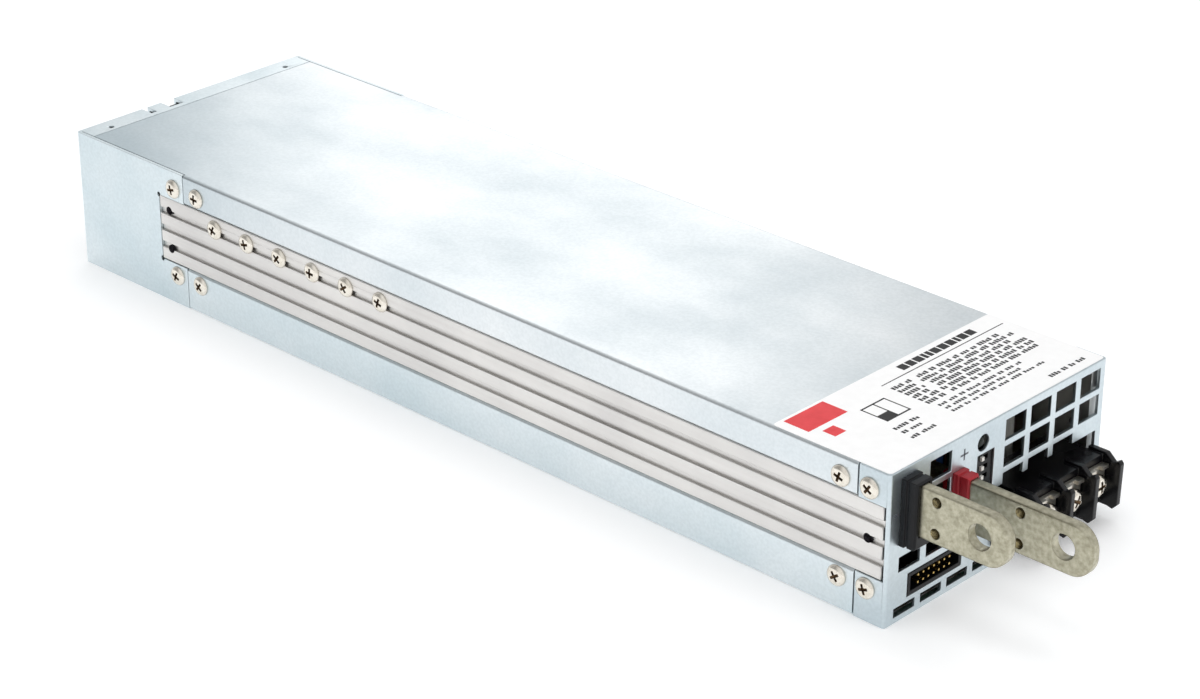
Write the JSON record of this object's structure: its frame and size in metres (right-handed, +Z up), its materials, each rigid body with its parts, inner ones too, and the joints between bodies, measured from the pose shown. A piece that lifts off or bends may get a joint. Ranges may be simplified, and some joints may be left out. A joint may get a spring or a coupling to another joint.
{
  "type": "battery charger",
  "caption": "Long low sheet-metal battery charger with grooved side rails, fans at the rear, and bus bars, mains terminals and a signal connector at the front.",
  "frame": {"origin": "centre of the case's underside", "axes": "+X to the terminal end, +Y to the right-hand rail, +Z up"},
  "size_m": [0.34, 0.0872, 0.0411],
  "materials": {
    "zinc_steel": "zinc-plated folded sheet, satin",
    "rail_aluminium": "mill-finish extrusion",
    "nickel_screw": "nickel-plated",
    "brass_hex": "turned",
    "nickel_bar": "dull nickel plate",
    "black_moulding": "semi-gloss moulded",
    "red_moulding": "semi-gloss moulded",
    "fan_plastic": "moulded",
    "white_plastic": "moulded",
    "circuit_board": "green solder mask",
    "package_epoxy": "moulded epoxy",
    "insulating_sheet": "calendered film",
    "thermal_pad": "silicone sheet",
    "ferrite": "sintered",
    "powder_core": "epoxy coated",
    "enamelled_copper": "enamelled wire",
    "winding_tape": "polyester tape",
    "capacitor_sleeve": "shrink sleeve",
    "light_sleeve": "shrink sleeve",
    "film_capacitor": "moulded box",
    "relay_case": "moulded box",
    "fuse_ceramic": "ceramic tube",
    "tinned_contact": "tin-plated brass",
    "gold_pin": "gold flash",
    "label_film": "printed film",
    "lamp_lens": "tinted lens"
  },
  "bodies": {
    "case": {"board_screws": "nickel_screw", "board_standoffs": "brass_hex", "boost_choke_core": "powder_core", "boost_choke_winding": "enamelled_copper", "bottom_cover": "zinc_steel", "bulk_capacitors": "capacitor_sleeve", "case_screws": "nickel_screw", "control_board": "circuit_board", "control_chips": "package_epoxy", "device_nuts": "nickel_screw", "device_screws": "nickel_screw", "dip_switch_body": "black_moulding", "fan_frame_1": "fan_plastic", "fan_frame_2": "fan_plastic", "fan_screws": "nickel_screw", "filter_capacitor": "film_capacitor", "front_panel": "zinc_steel", "inrush_relay": "relay_case", "insulating_film": "insulating_sheet", "label": "label_film", "left_heatsink": "rail_aluminium", "line_capacitor": "light_sleeve", "line_choke_core": "powder_core", "line_choke_winding": "enamelled_copper", "line_fuse": "fuse_ceramic", "main_board": "circuit_board", "negative_bus_bar": "nickel_bar", "negative_insulator": "black_moulding", "output_capacitors": "capacitor_sleeve", "panel_board": "circuit_board", "positive_bus_bar": "nickel_bar", "positive_insulator": "red_moulding", "power_transistors": "package_epoxy", "press_nuts": "nickel_screw", "rear_housing": "zinc_steel", "rectifier_heatsink": "rail_aluminium", "resonant_choke_core": "ferrite", "resonant_choke_winding": "winding_tape", "right_heatsink": "rail_aluminium", "signal_connector_pins": "gold_pin", "signal_connector_shell": "black_moulding", "status_lamp": "lamp_lens", "terminal_block": "black_moulding", "terminal_contacts": "tinned_contact", "thermal_pads": "thermal_pad", "top_cover": "zinc_steel", "transformer_core": "ferrite", "transformer_winding": "winding_tape"},
    "fan_1_rotor": {"fan_rotor_1": "fan_plastic"},
    "fan_2_rotor": {"fan_rotor_2": "fan_plastic"},
    "slider_1": {"dip_slider_1": "white_plastic"},
    "slider_2": {"dip_slider_2": "white_plastic"},
    "slider_3": {"dip_slider_3": "white_plastic"},
    "slider_4": {"dip_slider_4": "white_plastic"},
    "clamp_1": {"terminal_clamp_1": "tinned_contact"},
    "screw_1": {"terminal_screw_1": "nickel_screw"},
    "clamp_2": {"terminal_clamp_2": "tinned_contact"},
    "screw_2": {"terminal_screw_2": "nickel_screw"},
    "clamp_3": {"terminal_clamp_3": "tinned_contact"},
    "screw_3": {"terminal_screw_3": "nickel_screw"}
  },
  "joints": [
    {"name": "fan_1_spin", "type": "hinge", "parent": "case", "child": "fan_1_rotor", "pos_m": [-0.1345, -0.0196, 0.0205], "axis": [1, 0, 0], "continuous": true},
    {"name": "fan_2_spin", "type": "hinge", "parent": "case", "child": "fan_2_rotor", "pos_m": [-0.1345, 0.0196, 0.0205], "axis": [1, 0, 0], "continuous": true},
    {"name": "slider_1_slide", "type": "slide", "parent": "case", "child": "slider_1", "axis": [0, 1, 0], "range_m": [0, 0.0018]},
    {"name": "slider_2_slide", "type": "slide", "parent": "case", "child": "slider_2", "axis": [0, 1, 0], "range_m": [0, 0.0018]},
    {"name": "slider_3_slide", "type": "slide", "parent": "case", "child": "slider_3", "axis": [0, 1, 0], "range_m": [0, 0.0018]},
    {"name": "slider_4_slide", "type": "slide", "parent": "case", "child": "slider_4", "axis": [0, 1, 0], "range_m": [0, 0.0018]},
    {"name": "clamp_1_lift", "type": "slide", "parent": "case", "child": "clamp_1", "axis": [1, 0, 0], "range_m": [0, 0.0024]},
    {"name": "screw_1_turn", "type": "hinge", "parent": "clamp_1", "child": "screw_1", "pos_m": [0.156, 0.0124, 0.0112], "axis": [1, 0, 0], "range_deg": [0, 1441]},
    {"name": "clamp_2_lift", "type": "slide", "parent": "case", "child": "clamp_2", "axis": [1, 0, 0], "range_m": [0, 0.0024]},
    {"name": "screw_2_turn", "type": "hinge", "parent": "clamp_2", "child": "screw_2", "pos_m": [0.156, 0.0226, 0.0112], "axis": [1, 0, 0], "range_deg": [0, 1441]},
    {"name": "clamp_3_lift", "type": "slide", "parent": "case", "child": "clamp_3", "axis": [1, 0, 0], "range_m": [0, 0.0024]},
    {"name": "screw_3_turn", "type": "hinge", "parent": "clamp_3", "child": "screw_3", "pos_m": [0.156, 0.0328, 0.0112], "axis": [1, 0, 0], "range_deg": [0, 1441]}
  ],
  "couplings": [
    {"joint": "screw_1_turn", "follows": "clamp_1_lift", "rad_per_m": 10472},
    {"joint": "screw_2_turn", "follows": "clamp_2_lift", "rad_per_m": 10472},
    {"joint": "screw_3_turn", "follows": "clamp_3_lift", "rad_per_m": 10472}
  ]
}
